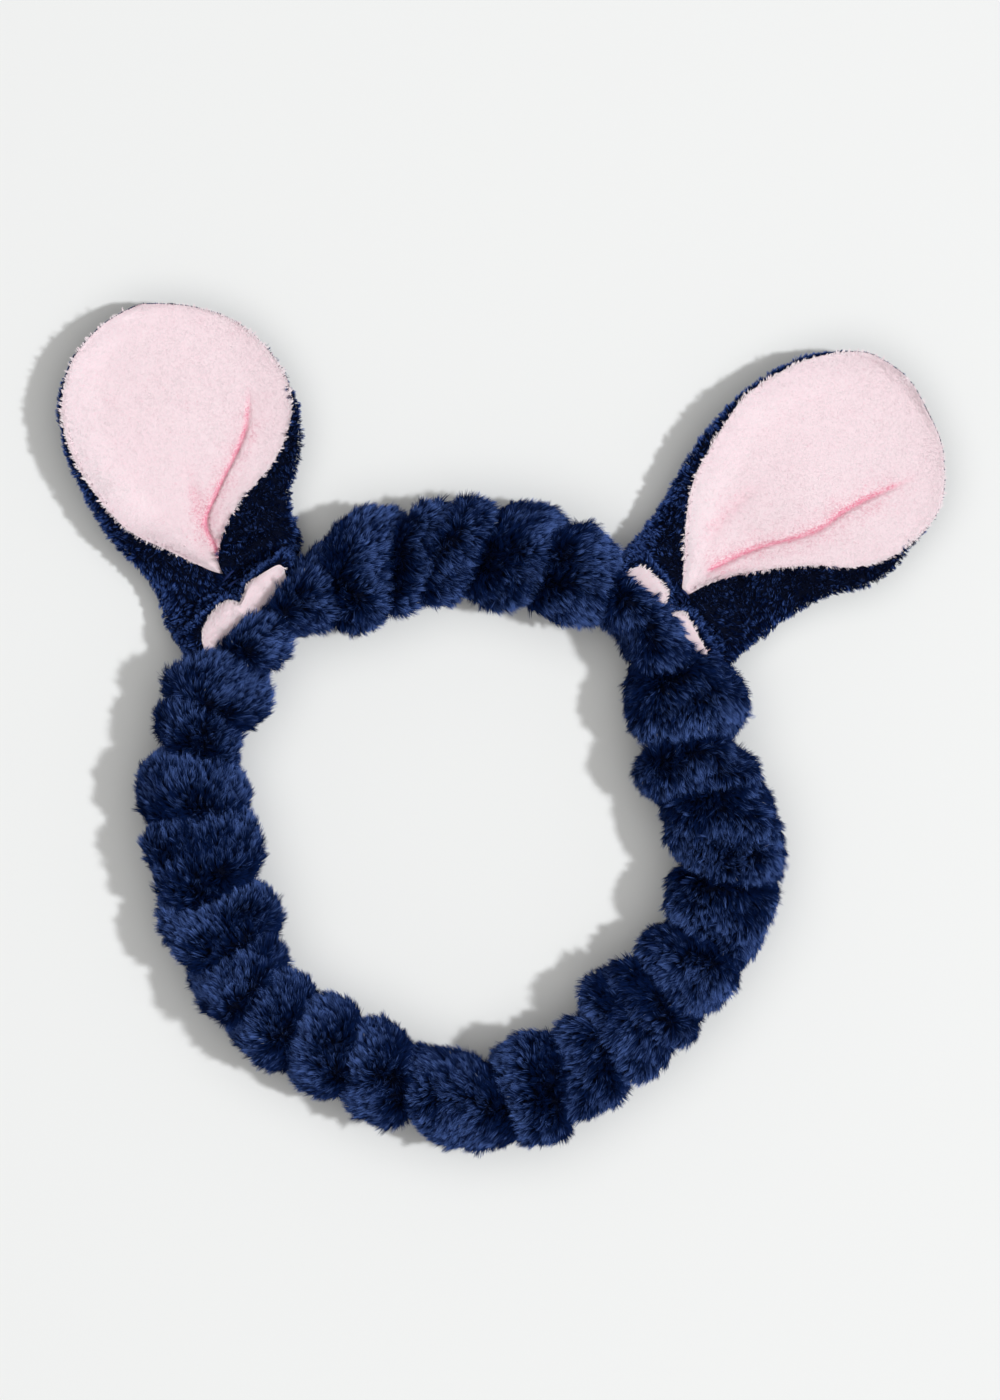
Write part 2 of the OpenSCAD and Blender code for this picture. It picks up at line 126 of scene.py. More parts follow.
def add_sky():
    world = bpy.data.worlds.new("studio")
    bpy.context.scene.world = world
    world.use_nodes = True
    nodes, links = world.node_tree.nodes, world.node_tree.links
    fill = nodes["Background"]
    fill.inputs["Color"].default_value = (1, 1, 1, 1)
    fill.inputs["Strength"].default_value = SKY_STRENGTH
    backdrop = nodes.new("ShaderNodeBackground")
    backdrop.inputs["Color"].default_value = BACKDROP_COLOUR
    seen = nodes.new("ShaderNodeLightPath")
    choose = nodes.new("ShaderNodeMixShader")
    links.new(seen.outputs["Is Camera Ray"], choose.inputs["Fac"])
    links.new(fill.outputs["Background"], choose.inputs[1])
    links.new(backdrop.outputs["Background"], choose.inputs[2])
    links.new(choose.outputs["Shader"], nodes["World Output"].inputs["Surface"])


add_softbox("key_from_the_right", KEY_PLACE, KEY_SIZE, KEY_POWER, KEY_COLOUR)
add_softbox("soft_overhead", OVERHEAD_PLACE, OVERHEAD_SIZE, OVERHEAD_POWER, OVERHEAD_COLOUR)
add_sky()
bpy.context.scene.view_settings.view_transform = "Standard"
print("key", KEY_POWER, "W, overhead", OVERHEAD_POWER, "W, sky", SKY_STRENGTH)

# %% [markdown]
# ## The finishes
# Plush lies in shade between its tufts and is lit on their tips. Here that shade is painted: each blade's colour
# darkens from its tip to its root, and a low tone, which is partly random and partly painted shade, gives it deep
# colours. Each blade of pile has a place on a small map of its own: across it runs the tuft's tone, up it the way
# from root to tip. One node group turns that place into a colour, and the three plushes only give it their own
# colours. Blades that lie over each other share the map, so it stays exact at any size.

# %% Pile colours
PILE_MAP = "OFBake"
# Root and the two deep colours are painted shade; Glint is a painted highlight.
PILE_COLOURS = ("Root", "Deep middle", "Middle", "Deep tip", "Tip", "Glint")


def new_group(name, inputs):
    group = bpy.data.node_groups.new(name, "ShaderNodeTree")
    for label, kind in inputs:
        group.interface.new_socket(label, in_out="INPUT", socket_type=kind)
    group.interface.new_socket("Color", in_out="OUTPUT", socket_type="NodeSocketColor")
    return group, group.nodes.new("NodeGroupInput"), group.nodes.new("NodeGroupOutput")


def mix_colours(tree, factor, a, b):
    mix = tree.nodes.new("ShaderNodeMix")
    mix.data_type = "RGBA"
    tree.links.new(factor, mix.inputs[0])
    tree.links.new(a, mix.inputs[6])
    tree.links.new(b, mix.inputs[7])
    return mix.outputs[2]


def ramp(tree, value, low, high):
    """0 up to the low value, 1 from the high one."""
    node = tree.nodes.new("ShaderNodeMapRange")
    node.inputs["From Min"].default_value = low
    node.inputs["From Max"].default_value = high
    tree.links.new(value, node.inputs["Value"])
    return node


def pile_tint_group():
    group, given, result = new_group("pile_tint", [(label, "NodeSocketColor") for label in PILE_COLOURS])
    place = group.nodes.new("ShaderNodeUVMap")
    place.uv_map = PILE_MAP
    split = group.nodes.new("ShaderNodeSeparateXYZ")
    group.links.new(place.outputs["UV"], split.inputs[0])
    low = ramp(group, split.outputs["Y"], 0, 0.5)
    high = ramp(group, split.outputs["Y"], 0.5, 1)
    tone = ramp(group, split.outputs["X"], 0.25, 0.85)
    tone.interpolation_type = "SMOOTHSTEP"
    # Painted glint: a bright colour near the tips of the blades that have the glint tone.
    spark = ramp(group, split.outputs["X"], 0.95, 0.97)
    point = ramp(group, split.outputs["Y"], 0.7, 0.8)
    glint = group.nodes.new("ShaderNodeMath")
    glint.operation = "MULTIPLY"
    group.links.new(spark.outputs[0], glint.inputs[0])
    group.links.new(point.outputs[0], glint.inputs[1])
    tip = mix_colours(group, tone.outputs[0], given.outputs["Deep tip"], given.outputs["Tip"])
    tip = mix_colours(group, glint.outputs[0], tip, given.outputs["Glint"])
    middle = mix_colours(group, tone.outputs[0], given.outputs["Deep middle"], given.outputs["Middle"])
    lower = mix_colours(group, low.outputs[0], given.outputs["Root"], middle)
    colour = mix_colours(group, high.outputs[0], lower, tip)
    group.links.new(colour, result.inputs["Color"])
    return group


PILE_TINT = pile_tint_group()


def pile_material(name, colours, roughness, gloss):
    material = plain_material(name, colours[2], roughness)
    tree = material.node_tree
    shader = tree.nodes["Principled BSDF"]
    shader.inputs["Specular IOR Level"].default_value = gloss
    tint = tree.nodes.new("ShaderNodeGroup")
    tint.node_tree = PILE_TINT
    for label, colour in zip(PILE_COLOURS, colours):
        tint.inputs[label].default_value = (*colour, 1)
    tree.links.new(tint.outputs["Color"], shader.inputs["Base Color"])
    return material


# In each list the root and the two deep colours are painted shade, and the last colour is a painted glint.
band_pile_finish = pile_material("navy_long_pile", [
    (0.0003, 0.0016, 0.01), (0.0015, 0.0065, 0.033), (0.003, 0.012, 0.056), (0.0045, 0.018, 0.095), (0.13, 0.235, 0.66),
    (0.75, 0.8, 0.9)], 0.6, 0.03)
ear_pile_finish = pile_material("navy_short_pile", [
    (0.0003, 0.0015, 0.009), (0.0014, 0.0055, 0.03), (0.0035, 0.0125, 0.066), (0.003, 0.014, 0.08), (0.115, 0.225, 0.7),
    (0.3, 0.35, 0.5)], 0.6, 0.03)
pink_pile_finish = pile_material("pink_pile", [
    (0.9, 0.725, 0.775), (0.85, 0.28, 0.41), (0.904, 0.8, 0.836), (0.83, 0.24, 0.37), (0.904, 0.821, 0.855),
    (0.95, 0.9, 0.92)], 0.8, 0.1)
print("pile finishes made")

# %% [markdown]
# Under the pile lies knitted backing cloth. It only shows in the deepest creases, so it gets a dark version of the
# pile's colour, painted as dark as the shade there, with a fine knit. Thread and elastic get a twist and a weave of
# their own.

# %% Cloth, thread and elastic
CREASE = "crease"


def knit_group():
    group, given, result = new_group("knit", [
        ("Low", "NodeSocketColor"), ("High", "NodeSocketColor"), ("Stitches per metre", "NodeSocketFloat")])
    place = group.nodes.new("ShaderNodeTexCoord")
    knit = group.nodes.new("ShaderNodeTexVoronoi")
    group.links.new(place.outputs["Object"], knit.inputs["Vector"])
    group.links.new(given.outputs["Stitches per metre"], knit.inputs["Scale"])
    spread = group.nodes.new("ShaderNodeTexNoise")
    spread.inputs["Scale"].default_value = 90
    group.links.new(place.outputs["Object"], spread.inputs["Vector"])
    blend = group.nodes.new("ShaderNodeMath")
    blend.operation = "MULTIPLY"
    group.links.new(knit.outputs["Distance"], blend.inputs[0])
    group.links.new(spread.outputs["Fac"], blend.inputs[1])
    colour = mix_colours(group, blend.outputs[0], given.outputs["Low"], given.outputs["High"])
    group.links.new(colour, result.inputs["Color"])
    return group


KNIT = knit_group()


def cloth_material(name, low, high, stitches, roughness):
    material = plain_material(name, low, roughness)
    tree = material.node_tree
    shader = tree.nodes["Principled BSDF"]
    knit = tree.nodes.new("ShaderNodeGroup")
    knit.node_tree = KNIT
    knit.inputs["Low"].default_value = (*low, 1)
    knit.inputs["High"].default_value = (*high, 1)
    knit.inputs["Stitches per metre"].default_value = stitches
    bump = tree.nodes.new("ShaderNodeBump")
    bump.inputs["Strength"].default_value = 0.4
    bump.inputs["Distance"].default_value = 0.3 * MM
    grey = tree.nodes.new("ShaderNodeRGBToBW")
    tree.links.new(knit.outputs["Color"], shader.inputs["Base Color"])
    tree.links.new(knit.outputs["Color"], grey.inputs["Color"])
    tree.links.new(grey.outputs["Val"], bump.inputs["Height"])
    tree.links.new(bump.outputs["Normal"], shader.inputs["Normal"])
    return material


def paint_crease_shade(material, colour):
    """Paints shade into a cloth: a deeper colour where its points carry a crease."""
    tree = material.node_tree
    base = tree.nodes["Principled BSDF"].inputs["Base Color"]
    crease = tree.nodes.new("ShaderNodeAttribute")
    crease.attribute_name = CREASE
    mix = tree.nodes.new("ShaderNodeMix")
    mix.data_type = "RGBA"
    mix.inputs[7].default_value = (*colour, 1)
    tree.links.new(crease.outputs["Fac"], mix.inputs[0])
    tree.links.new(base.links[0].from_socket, mix.inputs[6])
    tree.links.new(mix.outputs[2], base)


# The navy backing is darkened as painted shade for the creases where it shows.
navy_cloth = cloth_material("navy_backing", (0.0006, 0.002, 0.01), (0.002, 0.005, 0.022), 900, 0.9)
pink_cloth = cloth_material("pink_backing", (0.902, 0.734, 0.785), (0.912, 0.81, 0.836), 1100, 0.9)
# Painted shade: the pink cloth turns a deep pink in its creases.
paint_crease_shade(pink_cloth, (0.88, 0.36, 0.48))
elastic_cloth = cloth_material("white_elastic", (0.78, 0.78, 0.75), (0.92, 0.92, 0.9), 700, 0.8)
wadding_cloth = cloth_material("white_wadding", (0.86, 0.86, 0.84), (0.95, 0.95, 0.94), 260, 0.95)
navy_thread = cloth_material("navy_thread", (0.006, 0.012, 0.06), (0.03, 0.055, 0.2), 2600, 0.6)
pink_thread = cloth_material("pink_thread", (0.8, 0.5, 0.6), (0.93, 0.7, 0.78), 2600, 0.6)
print("cloth and thread finishes made")

# %% [markdown]
# ## Tools for soft shapes
# The cloth forms are grids of points worked out by formula, because a gathered tube has dozens of creases and
# each has its own slant and depth. Three small helpers do the work: one draws a smooth curve through a few
# measured values, one makes gentle random waves, and one turns a grid of points into a mesh.

# %% Curves, waves and grids
def curve_through(places, values, period=None):
    """A smooth curve through a few values, as a function of place; it repeats after the period, if one is given."""
    x, y = np.array(places, float), np.array(values, float)
    if period:
        x = np.concatenate([x[-2:] - period, x, x[:2] + period])
        y = np.concatenate([y[-2:], y, y[:2]])
    slope = np.gradient(y, x)

    def value(at):
        at = np.asarray(at, float)
        if period:
            at = np.mod(at - x[2], period) + x[2]
        k = np.clip(np.searchsorted(x, at, "right") - 1, 0, len(x) - 2)
        width = x[k + 1] - x[k]
        s = np.clip((at - x[k]) / width, 0, 1)
        rise = y[k + 1] - y[k]
        return (y[k] + s * s * (3 - 2 * s) * rise + s * (1 - s) ** 2 * width * slope[k]
                - s * s * (1 - s) * width * slope[k + 1])

    return value


def waves(points, shortest, longest, seed, count=14):
    """Smooth random waves through space, about -1 to 1, at points given in millimetres."""
    rng = np.random.default_rng(seed)
    heading = rng.normal(size=(count, 3))
    heading /= np.linalg.norm(heading, axis=1)[:, None]
    length = rng.uniform(shortest, longest, count)
    phase = rng.uniform(0, 2 * np.pi, count)
    total = np.zeros(len(points))
    for way, span, start in zip(heading, length, phase):
        total += np.sin(points @ way * (2 * np.pi / span) + start)
    return total / math.sqrt(count)


def ease(x):
    x = np.clip(x, 0, 1)
    return x * x * (3 - 2 * x)


def new_mesh(name, points, faces):
    """A mesh object from points in millimetres and faces of three or four corners each."""
    mesh = bpy.data.meshes.new(name)
    points = np.ascontiguousarray(points, np.float32) * np.float32(MM)
    faces = np.ascontiguousarray(faces, np.int32)
    mesh.vertices.add(len(points))
    mesh.vertices.foreach_set("co", points.ravel())
    mesh.loops.add(faces.size)
    mesh.loops.foreach_set("vertex_index", faces.ravel())
    mesh.polygons.add(len(faces))
    mesh.polygons.foreach_set("loop_start", np.arange(0, faces.size, faces.shape[1], dtype=np.int32))
    mesh.polygons.foreach_set("use_smooth", np.ones(len(faces), bool))
    mesh.update(calc_edges=True)
    obj = bpy.data.objects.new(name, mesh)
    bpy.context.scene.collection.objects.link(obj)
    return obj


def grid_faces(rows, columns, rows_close=False, columns_close=False):
    i, j = np.meshgrid(np.arange(rows if rows_close else rows - 1),
                       np.arange(columns if columns_close else columns - 1), indexing="ij")
    i, j = i.ravel(), j.ravel()
    up, along = (i + 1) % rows, (j + 1) % columns
    return np.stack([i * columns + j, i * columns + along, up * columns + along, up * columns + j], 1)


print("helpers ready")

# %% [markdown]
# ## The gathered tube
# The elastic draws the tube up into gathers. Each has its own width and reach, and the creases between them run
# across the tube at a slant. The list below gives them as they lie round the ring: where each crease starts on
# the head side and ends on the outer side, how deep it is on top and how deep its notch is on both sides, and
# how far the gather after it reaches to both sides. Between two creases the cloth swells like a pillow, rounder on
# the sides than on top, and most pillows lean over to one crease. On the outer side, where there is more cloth to
# take up, every gather has a smaller ruffle in its middle.

# %% The gathers
# Crease on the head side, crease on the outer side, its bow on top (degrees), share of the depth on top, notch on
# the head side, notch on the outer side, reach of the gather after it to the head side and outwards (mm)
GATHERS = [
    (-10, -11, -1.5, 1.0, 5.0, 0.6, 50.2, 80.6), (8, 8.5, 0.5, 0.5, 0.5, 0.6, 45.4, 74.4),
    (21.5, 17, 0.5, 1.0, 3.6, 3.8, 48.6, 78.8), (41, 36, -3, 0.6, 1.0, 1.0, 60.6, 74.8),
    (57, 57.5, 0, 0.5, 0.4, 1.0, 54.4, 81.2), (74.5, 69.5, 0.5, 1.0, 2.8, 5.4, 53.8, 82.2),
    (88.5, 83, -0.5, 0.6, 1.2, 1.8, 53.8, 81.6), (100, 91, 0, 0.5, 0.8, 3.6, 53.6, 81.0),
    (108, 98.5, 1, 0.7, 1.3, 3.0, 52.4, 82.2), (122, 116, 0, 0.8, 1.8, 1.0, 60.0, 75.0),
    (133, 132, 0, 0.4, 0.4, 0.5, 60.0, 75.0), (141, 146, 0, 0.6, 2.2, 1.0, 55.9, 82.5),
    (158, 158, -1, 0.7, 1.4, 3.8, 58.2, 80.0), (167, 166, 0.5, 0.8, 0.3, 4.6, 54.2, 81.8),
    (178, 181, 0, 0.6, 0.5, 1.4, 49.4, 79.0), (195.5, 194.5, 4, 1.0, 4.6, 1.8, 49.6, 80.2),
    (211, 208.5, 1.5, 0.9, 0.5, 3.4, 54.6, 79.8), (221, 222, 1, 0.8, 2.0, 2.4, 54.6, 79.8),
    (231, 236, -1, 0.7, 2.0, 2.6, 52.6, 78.6), (243.5, 246, 0.5, 0.7, 1.2, 1.8, 53.0, 79.2),
    (257, 260, 0, 0.7, 1.0, 4.0, 57.4, 81.8), (277, 280.5, 1, 1.0, 2.4, 1.2, 54.8, 84.6),
    (293.5, 290.5, 0, 0.8, 2.2, 3.6, 55.4, 82.0), (304, 303.5, 0, 0.9, 4.0, 3.0, 51.4, 80.6),
    (312, 313.5, 0, 0.4, 0.0, 1.4, 52.4, 80.0), (321.8, 321.5, -2, 1.0, 3.6, 3.0, 53.6, 80.6),
    (334, 331.5, 1, 0.9, 2.2, 0.9, 53.8, 82.0),
]
STEPS_PER_GATHER = 24
TUBE_SIDES = 96
PILE_LOFT = 3.1
TUBE_MIDDLE = 13.2
TUBE_HALF_HEIGHT = 11.0
TOP_CREASE = 6.0
NOTCH_GAIN = 2.4
RUFFLE_DEPTH = 1.2
ROUNDNESS = 0.86


def gathered_tube():
    """Points of the tube's cloth in millimetres, as a grid of rings by sides, and how far each lies in a crease."""
    gathers = np.array(GATHERS)
    count = len(gathers)
    after = np.vstack([gathers, gathers[:1] + [360, 360, 0, 0, 0, 0, 0, 0]])
    share = (1 - np.cos(np.pi * np.arange(STEPS_PER_GATHER) / STEPS_PER_GATHER)) / 2
    share = 0.5 * share + 0.5 * np.arange(STEPS_PER_GATHER) / STEPS_PER_GATHER
    k = np.repeat(np.arange(count), STEPS_PER_GATHER)
    s = np.tile(share, count)[:, None]
    phi = (np.arange(TUBE_SIDES) * 2 * np.pi / TUBE_SIDES)[None, :]
    cos, sin = np.cos(phi), np.sin(phi)
    to_outer, to_head = np.maximum(cos, 0) ** 2, np.maximum(-cos, 0) ** 2
    wander = np.random.default_rng(4).uniform(-1, 1, (count + 1, 4))
    wander[-1] = wander[0]

    def column(values, i):
        return values[i][:, None]

    def crease_line(i):
        line = column(after[:, 0], i) * (1 - cos) / 2 + column(after[:, 1], i) * (1 + cos) / 2
        return line + column(after[:, 2], i) * sin + 1.5 * column(wander[:, 1], i) * np.sin(2 * phi)

    def at_creases(n):
        return column(after[:, n], k) * (1 - ease(s)) + column(after[:, n], k + 1) * ease(s)

    def at_middles(n):
        return curve_through(np.arange(count) + 0.5, gathers[:, n], count)(k[:, None] + s)

    angle = np.radians(crease_line(k) * (1 - s) + crease_line(k + 1) * s)
    reach_in, reach_out = at_middles(6) + PILE_LOFT, at_middles(7) - PILE_LOFT
    half = (reach_out - reach_in) / 2
    off = np.abs(2 * s ** (2 ** (0.55 * column(wander[:, 3], k))) - 1)
    notch = NOTCH_GAIN * (to_head * at_creases(4) + to_outer * at_creases(5))
    crease = TOP_CREASE * sin ** 2 * at_creases(3)
    deep = notch * (0.8 * off ** 2.2 + 0.2 * off ** 8) + crease * (0.65 * off ** 2.6 + 0.35 * off ** 8)
    ruffle = RUFFLE_DEPTH * np.exp(-((s - 0.5 - 0.12 * column(wander[:, 2], k)) / 0.1) ** 2) * to_outer
    deep = np.minimum(deep, 0.55 * half) + ruffle * np.clip(half / 11, 0, 1)
    rounded_cos = np.sign(cos) * np.abs(cos) ** ROUNDNESS
    rounded_sin = np.sign(sin) * np.abs(sin) ** ROUNDNESS
    height = TUBE_HALF_HEIGHT + 0.9 * column(wander[:, 1], k) * (1 - (2 * s - 1) ** 2)
    radius = (reach_in + reach_out) / 2 + (half - deep) * rounded_cos
    points = np.stack([radius * np.cos(angle), radius * np.sin(angle),
                       TUBE_MIDDLE + (height - deep) * rounded_sin], -1)
    return points, (off ** 3 * np.clip(deep / 4.5, 0, 1)).ravel()


tube, crease_share = gathered_tube()
rings, sides = tube.shape[:2]
flat = tube.reshape(-1, 3)
outward = tube - tube.mean(1, keepdims=True)
outward /= np.linalg.norm(outward, axis=2, keepdims=True)
pucker = 0.8 * (waves(flat, 6, 14, seed=7) * (1 - crease_share)).reshape(rings, sides, 1)
tube = tube + outward * pucker
band_skin = new_mesh("band_cover_cloth", tube.reshape(-1, 3), grid_faces(rings, sides, True, True)[:, ::-1])
band_skin.data.materials.append(navy_cloth)
print("gathered tube:", rings, "rings of", sides)

# %% [markdown]
# ## Growing pile
# Every blade starts at a random place on the cloth and rises along the cloth's own direction, leaning with a
# slow random comb. Blades near each other share a tuft and draw together at their tips. A blade is a leaf of two
# triangles that bends in the middle, and tips that would go through the table are laid flat on it. Pile looks dark
# where one looks straight into it and light where it lies on its side, so blades that stand up get a darker tone,
# which is painted shade. The plush of the tube also has a nap. It leans clockwise, and the side of each gather that
# it falls over is painted lighter than the side it rises on, as light and shade fall there; blades in the creases
# get a darker tone, painted shade too. A very few blades get a painted glint.

# %% Blades
GLINT_SHARE, GLINT_TONE = 0.0005, 0.985
TONE_LOW, TONE_HIGH = 0.02, 0.93
MAP_HALF_WIDTH = 0.006


def cloth_points(obj, count, rng, keep=None, carry=None):
    """Random places on a cloth in millimetres, the cloth's direction there and a value that its points carry."""
    mesh = obj.data
    mesh.calc_loop_triangles()
    corner = np.zeros(len(mesh.loop_triangles) * 3, np.int32)
    mesh.loop_triangles.foreach_get("vertices", corner)
    corner = corner.reshape(-1, 3)
    place = np.zeros(len(mesh.vertices) * 3, np.float32)
    mesh.vertices.foreach_get("co", place)
    place = place.reshape(-1, 3) / MM
    normal = np.zeros(len(mesh.vertices) * 3, np.float32)
    mesh.vertex_normals.foreach_get("vector", normal)
    normal = normal.reshape(-1, 3)
    a, b, c = (place[corner[:, n]] for n in range(3))
    area = np.linalg.norm(np.cross(b - a, c - a), axis=1) / 2
    weight = area if keep is None else area * keep((a + b + c) / 3, normal[corner].mean(1))
    chosen = rng.choice(len(area), count, p=weight / weight.sum())
    u, v = rng.random((2, count, 1))
    over = u + v > 1
    u, v = np.where(over, 1 - u, u), np.where(over, 1 - v, v)
    roots = a[chosen] + u * (b - a)[chosen] + v * (c - a)[chosen]
    n = corner[chosen]
    normals = normal[n[:, 0]] * (1 - u - v) + normal[n[:, 1]] * u + normal[n[:, 2]] * v
    carried = 0 if carry is None else np.sum(carry[n] * np.hstack([1 - u - v, u, v]), axis=1)
    return roots, normals / np.linalg.norm(normals, axis=1)[:, None], carried


def tuft_of(roots, spacing, rng):
    """The tuft that each root belongs to, with about one tuft for every square of that spacing."""
    count = max(8, int(len(roots) * min(1.0, 1 / (spacing * spacing))))
    middles = rng.choice(len(roots), count, replace=False)
    tree = KDTree(count)
    for n, at in enumerate(roots[middles]):
        tree.insert(at, n)
    tree.balance()
    return np.array([middles[tree.find(at)[1]] for at in roots])


def unit(v):
    return v / np.maximum(np.linalg.norm(v, axis=-1, keepdims=True), 1e-9)


def grow_pile(name, roots, normals, rng, length, width, lean, draw, per_tuft, finish, seed, comb=0, rough=1.0,
              droop=0.0, end_on=0.0, paler=0, short=0, uneven=0.26, even=False):
    """A piece of pile: one leaf-shaped blade of two triangles for each root; an even nap is lit like its cloth."""
    count = len(roots)
    width, draw = np.reshape(width, (-1, 1)), np.reshape(draw, (-1, 1))
    tuft = tuft_of(roots, math.sqrt(per_tuft), rng)
    way = 0.65 * np.stack([waves(roots, 12, 30, seed + n) for n in range(3)], 1)
    way += 0.2 * np.stack([waves(roots, 4, 9, seed + 5 + n) for n in range(3)], 1)
    way += 0.5 * rng.normal(size=(count, 3))[tuft]
    way[:, 2] -= droop
    way = rough * way + comb
    way -= normals * np.sum(way * normals, axis=1, keepdims=True)
    stray = 0.13 * min(1.0, 2 * rough) * rng.normal(size=(count, 3))
    long = length * rng.uniform(0.78, 1.06, (count, 1)) * (1 - np.reshape(short, (-1, 1)))
    long *= 1 + np.reshape(uneven, (-1, 1)) * rng.uniform(-1, 1, (count, 1))[tuft]
    bend = roots + 0.5 * long * unit(normals + 0.45 * lean * way + stray)
    tip = bend + 0.5 * long * unit(0.85 * normals + 1.35 * lean * way + stray)
    together = rng.uniform(0.4, 1.0, (count, 1)) * draw
    tip += (tip[tuft] - tip) * together
    bend += (bend[tuft] - bend) * (0.3 * together)
    faced = normals if even else np.array([0, 0, 1.0])
    side = unit(np.cross(tip - roots, faced + 0.4 * rough * rng.normal(size=(count, 3))))
    half = width / 2 * rng.uniform(0.7, 1.2, (count, 1))
    blades = np.stack([roots - 0.2 * normals, bend - side * half, bend + side * half, tip], 1)
    blades[:, :, 2] = np.maximum(blades[:, :, 2], 0.06 + 0.25 * rng.random((count, 1)) ** 2)
    first = 4 * np.arange(count)[:, None]
    faces = (first + np.array([[0, 2, 1, 1, 2, 3]])).reshape(-1, 3)
    obj = new_mesh(name, blades.reshape(-1, 3), faces)
    if even:
        lit = unit(normals + 0.1 * rng.normal(size=(count, 3)))
        held = obj.data.attributes.new("custom_normal", "FLOAT_VECTOR", "POINT")
        held.data.foreach_set("vector", np.repeat(lit, 4, 0).astype(np.float32).ravel())
    # Besides the random mottle, the tone carries the painted light and shade that each pile is given through paler.
    mottle = 0.09 * waves(roots, 3, 8, seed + 20) + 0.2 * rng.normal(size=count) + 0.16 * rng.normal(size=count)[tuft]
    tone = 0.5 + rough * mottle + paler
    # Painted shade: blades that stand up, and so are seen end-on from above, get a darker tone.
    tone += end_on * (0.5 - np.clip(unit(tip - roots)[:, 2], 0, 1) ** 2)
    tone = np.where(rng.random(count) < GLINT_SHARE, GLINT_TONE, np.clip(tone, TONE_LOW, TONE_HIGH))
    across = tone[:, None] + MAP_HALF_WIDTH * np.array([[0, 1, -1, -1, 1, 0]])
    up = np.array([0.02, 0.5, 0.5, 0.5, 0.5, 0.98])
    place = np.stack([across.ravel(), np.tile(up, count)], 1).astype(np.float32)
    obj.data.uv_layers.new(name=PILE_MAP).data.foreach_set("uv", place.ravel())
    obj.data.materials.append(finish)
    return obj


# %% Pile of the band
BAND_BLADES = 580000
BAND_SECTORS = 8
NAP = 1.4
NAP_PAINTED_SHADE = 0.42


def seen_share(places, normals):
    """Fewer blades where the tube lies on the table."""
    return np.where(normals[:, 2] < -0.55, 0.25, 1.0)


rng = np.random.default_rng(11)
roots, normals, creased = cloth_points(band_skin, BAND_BLADES, rng, seen_share, crease_share)
turn = np.arctan2(roots[:, 1], roots[:, 0])
sector = ((np.degrees(turn) % 360) * BAND_SECTORS / 360).astype(int)
clockwise = np.stack([np.sin(turn), -np.cos(turn), 0 * turn], 1)
fallen = np.sum(normals * clockwise, axis=1)
cloudy = 0.1 * waves(roots, 14, 40, seed=8)
band_pile = []
for n in range(BAND_SECTORS):
    here = sector == n
    # paler paints the tone: lighter where the nap falls over a gather's side, darker where it rises and in the creases,
    # as painted light and shade; cloudy is random.
    band_pile.append(grow_pile(f"band_pile_{n + 1}", roots[here], normals[here], np.random.default_rng(100 + n),
                               length=4.1, width=0.19, lean=0.62, draw=0.7, per_tuft=10, uneven=0.36,
                               finish=band_pile_finish, seed=30, comb=NAP * clockwise[here], droop=0.5, end_on=0.18,
                               paler=-0.12 + NAP_PAINTED_SHADE * fallen[here] - 1.0 * creased[here] + cloudy[here],
                               short=0.6 * creased[here]))
print("band pile:", len(roots), "blades in", BAND_SECTORS, "pieces")

# %% [markdown]
# ## The ears
# An ear is one flat padded piece, folded along its length and pinched together at the base. Further out it opens
# into a shallow dish. So each row across the ear is described by the same few things: where the outer sides
# are, where the pink panel's two edges lie, how high the edge stands and how deep the dish's floor is. Below the
# pinch the edges part again, which makes the two little pink lobes at the band.

# %% Ear outlines
# Way out from the base, slant of the row (degrees), dip in its middle, outer left, pink left, pink right, outer
# right, edge height, floor height (mm)
LEFT_EAR_ROWS = [
    (-7.5, 31.8, 0.0, -17.6, -13.8, 15.3, 17.5, 17.0, 18.0), (-0.8, 29.0, 1.2, -19.4, -13.0, 13.8, 18.0, 18.8, 19.8),
    (0.7, 27.5, 2.6, -19.8, -10.8, 9.6, 18.2, 19.0, 19.6), (1.5, 25.5, 3.2, -20.2, -6.4, 4.6, 18.4, 18.4, 18.6),
    (2.0, 24.0, 3.4, -20.6, -0.9, 0.6, 18.6, 17.4, 16.4), (4.2, 20.0, 0.0, -21.2, -1.3, -0.3, 18.8, 15.6, 13.4),
    (10.4, 14.0, 0.0, -20.9, -7.0, -3.0, 18.4, 14.2, 11.0), (16.5, 8.0, 0.0, -23.8, -14.2, -0.6, 17.6, 12.6, 8.4),
    (23.5, 3.0, 0.0, -28.8, -23.6, 5.8, 18.6, 12.0, 7.0), (32.0, 0.0, 0.0, -32.0, -29.2, 16.5, 23.0, 11.6, 6.4),
    (41.0, 0.0, 0.0, -34.2, -32.6, 22.6, 25.2, 11.3, 6.2), (49.0, 0.0, 0.0, -34.8, -33.8, 23.9, 25.0, 11.0, 6.2),
    (58.0, 0.0, 0.0, -33.2, -32.6, 21.3, 21.8, 10.6, 6.2), (67.0, 0.0, 0.0, -28.4, -28.0, 15.2, 15.7, 10.2, 6.6),
    (73.3, 0.0, 0.0, -20.4, -20.0, 5.6, 6.0, 9.8, 7.4), (76.0, 0.0, 0.0, -13.6, -13.3, -2.7, -2.4, 9.5, 8.0),
    (77.0, 0.0, 0.0, -9.0, -8.8, -7.0, -6.8, 9.2, 8.8),
]
